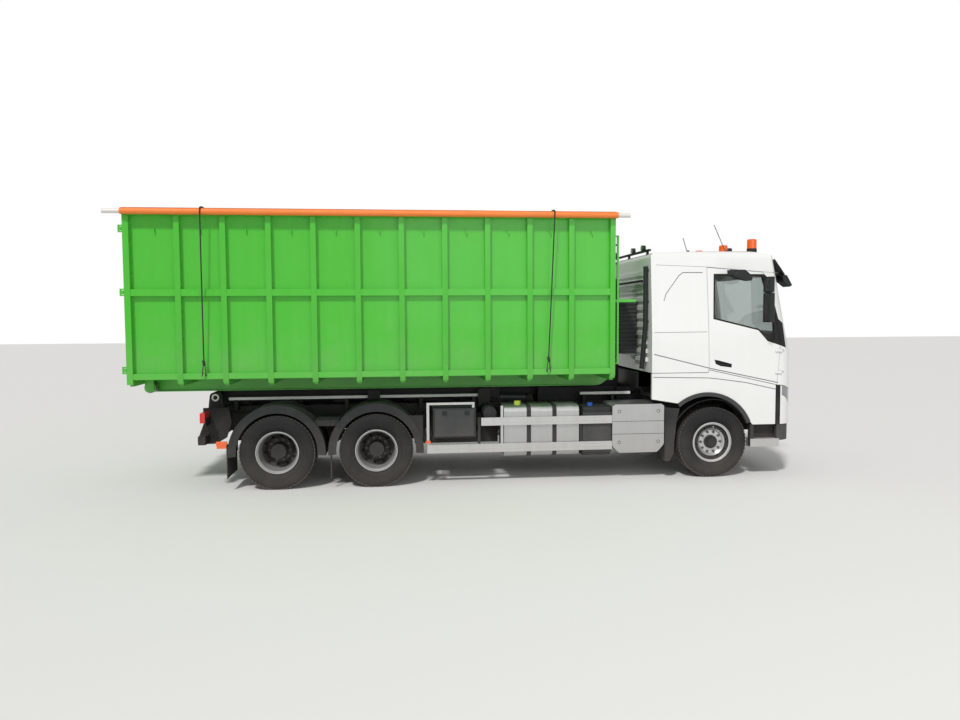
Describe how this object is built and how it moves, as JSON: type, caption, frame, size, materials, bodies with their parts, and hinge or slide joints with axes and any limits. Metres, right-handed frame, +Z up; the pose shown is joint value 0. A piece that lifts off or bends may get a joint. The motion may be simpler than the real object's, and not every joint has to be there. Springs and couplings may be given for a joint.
{
  "type": "hook-lift refuse truck",
  "caption": "Forward-control hook-lift truck carrying a tall ribbed roll-off refuse container with a sheeted top, steered front axle and twin-tyred rear bogie.",
  "frame": {"origin": "on the ground, at the middle of the overall length and width", "axes": "+X forward, +Y to the truck's left, +Z up"},
  "size_m": [9.8, 2.98, 3.9261],
  "materials": {
    "white_paint": "gloss white coachwork paint",
    "green_paint": "bright green container paint, scuffed",
    "black_paint": "satin black chassis paint under road dust",
    "dark_steel": "dark grey painted steel",
    "cast": "cast iron under road dust",
    "aluminium": "bare aluminium",
    "silver_steel": "silver wheel steel",
    "chrome": "hard chromed rod",
    "tyre": "tyre rubber",
    "black_plastic": "black moulded plastic",
    "grey_plastic": "dark grey moulded plastic",
    "amber": "amber lens",
    "red_lens": "red lens",
    "seat_cloth": "dark seat cloth",
    "glass": "tinted safety glass",
    "tarpaulin": "orange coated cloth",
    "white_tube": "white painted tube, scuffed",
    "rope": "black braided rope",
    "steel": "plain steel"
  },
  "bodies": {
    "chassis": {"frame_rails": "black_paint", "hooklift_subframe": "black_paint", "front_axle": "cast", "rear_axles": "cast", "engine_block": "cast", "fuel_tanks": "aluminium", "chassis_boxes": "black_plastic", "side_guards": "aluminium", "mudguards": "black_plastic", "load_rails": "black_paint", "lamps": "red_lens", "bumper": "white_paint", "front_steps": "grey_plastic", "front_fenders": "white_paint"},
    "cab": {"cab_floor": "white_paint", "cab_rear_wall": "white_paint", "cab_sides": "white_paint", "cab_roof": "white_paint", "cab_front": "white_paint", "windscreen": "glass", "cab_trim": "black_plastic", "cab_interior": "grey_plastic", "seats": "seat_cloth", "roof_fittings": "black_plastic", "beacons": "amber"},
    "cab_door_right": {"door_right": "white_paint", "door_right_glass": "glass", "mirrors_right": "black_plastic"},
    "cab_door_left": {"door_left": "white_paint", "door_left_glass": "glass", "mirrors_left": "black_plastic"},
    "steer_right": {"knuckle_right": "cast"},
    "steer_left": {"knuckle_left": "cast"},
    "lift_frame": {"tipping_frame": "black_paint"},
    "load": {"hook_arm": "black_paint", "container_floor": "green_paint", "container_sides": "green_paint", "container_front": "green_paint", "tarp": "tarpaulin", "tarp_tube": "white_tube", "rope_hooks": "steel", "rope_rear": "rope", "rope_front": "rope"},
    "leaf_right": {"container_door_right": "green_paint"},
    "leaf_left": {"container_door_left": "green_paint"},
    "barrels": {"tip_cylinders": "dark_steel"},
    "rods": {"tip_rods": "chrome"},
    "wheel_front_right": {"tyre_front_right": "tyre", "rim_front_right": "silver_steel"},
    "wheel_front_left": {"tyre_front_left": "tyre", "rim_front_left": "silver_steel"},
    "wheel_drive_right": {"tyre_drive_right": "tyre", "rim_drive_right": "silver_steel"},
    "wheel_drive_left": {"tyre_drive_left": "tyre", "rim_drive_left": "silver_steel"},
    "wheel_tag_right": {"tyre_tag_right": "tyre", "rim_tag_right": "silver_steel"},
    "wheel_tag_left": {"tyre_tag_left": "tyre", "rim_tag_left": "silver_steel"}
  },
  "joints": [
    {"name": "cab_tilt", "type": "hinge", "parent": "chassis", "child": "cab", "pos_m": [4.56, 0, 0.96], "axis": [0, 1, 0], "range_deg": [0, 60]},
    {"name": "door_right_hinge", "type": "hinge", "parent": "cab", "child": "cab_door_right", "pos_m": [4.603, -1.256, 1.7], "axis": [0, 0, 1], "range_deg": [0, 75]},
    {"name": "door_left_hinge", "type": "hinge", "parent": "cab", "child": "cab_door_left", "pos_m": [4.603, 1.256, 1.7], "axis": [0, 0, -1], "range_deg": [0, 75]},
    {"name": "steer_right_pin", "type": "hinge", "parent": "chassis", "child": "steer_right", "pos_m": [3.59, -0.865, 0.52], "axis": [0, 0, 1], "range_deg": [-38, 38]},
    {"name": "steer_left_pin", "type": "hinge", "parent": "chassis", "child": "steer_left", "pos_m": [3.59, 0.865, 0.52], "axis": [0, 0, 1], "range_deg": [-38, 38]},
    {"name": "lift_tip", "type": "hinge", "parent": "chassis", "child": "lift_frame", "pos_m": [-3.67, 0, 1.248], "axis": [0, -1, 0], "range_deg": [0, 48]},
    {"name": "arm_slide", "type": "slide", "parent": "lift_frame", "child": "load", "axis": [-1, 0, 0], "range_m": [0, 0.7]},
    {"name": "leaf_right_hinge", "type": "hinge", "parent": "load", "child": "leaf_right", "pos_m": [-4.717, -1.262, 2.65], "axis": [0, 0, 1], "range_deg": [0, 262]},
    {"name": "leaf_left_hinge", "type": "hinge", "parent": "load", "child": "leaf_left", "pos_m": [-4.717, 1.262, 2.65], "axis": [0, 0, -1], "range_deg": [0, 262]},
    {"name": "barrel_swing", "type": "hinge", "parent": "chassis", "child": "barrels", "pos_m": [1, 0, 1.132], "axis": [0, 1, 0], "range_deg": [0, 31.43]},
    {"name": "rod_stroke", "type": "slide", "parent": "barrels", "child": "rods", "axis": [-0.9997, 0, 0.0227], "range_m": [0, 1.329]},
    {"name": "wheel_front_right_turn", "type": "hinge", "parent": "steer_right", "child": "wheel_front_right", "pos_m": [3.59, -1.045, 0.52], "axis": [0, 1, 0], "continuous": true},
    {"name": "wheel_front_left_turn", "type": "hinge", "parent": "steer_left", "child": "wheel_front_left", "pos_m": [3.59, 1.045, 0.52], "axis": [0, 1, 0], "continuous": true},
    {"name": "wheel_drive_right_turn", "type": "hinge", "parent": "chassis", "child": "wheel_drive_right", "pos_m": [-1.35, -0.905, 0.52], "axis": [0, 1, 0], "continuous": true},
    {"name": "wheel_drive_left_turn", "type": "hinge", "parent": "chassis", "child": "wheel_drive_left", "pos_m": [-1.35, 0.905, 0.52], "axis": [0, 1, 0], "continuous": true},
    {"name": "wheel_tag_right_turn", "type": "hinge", "parent": "chassis", "child": "wheel_tag_right", "pos_m": [-2.72, -0.905, 0.52], "axis": [0, 1, 0], "continuous": true},
    {"name": "wheel_tag_left_turn", "type": "hinge", "parent": "chassis", "child": "wheel_tag_left", "pos_m": [-2.72, 0.905, 0.52], "axis": [0, 1, 0], "continuous": true}
  ],
  "couplings": [
    {"joint": "steer_left_pin", "follows": "steer_right_pin", "ratio": 1},
    {"joint": "barrel_swing", "follows": "lift_tip", "ratio": 0.65465},
    {"joint": "rod_stroke", "follows": "lift_tip", "m_per_rad": 1.5848}
  ]
}
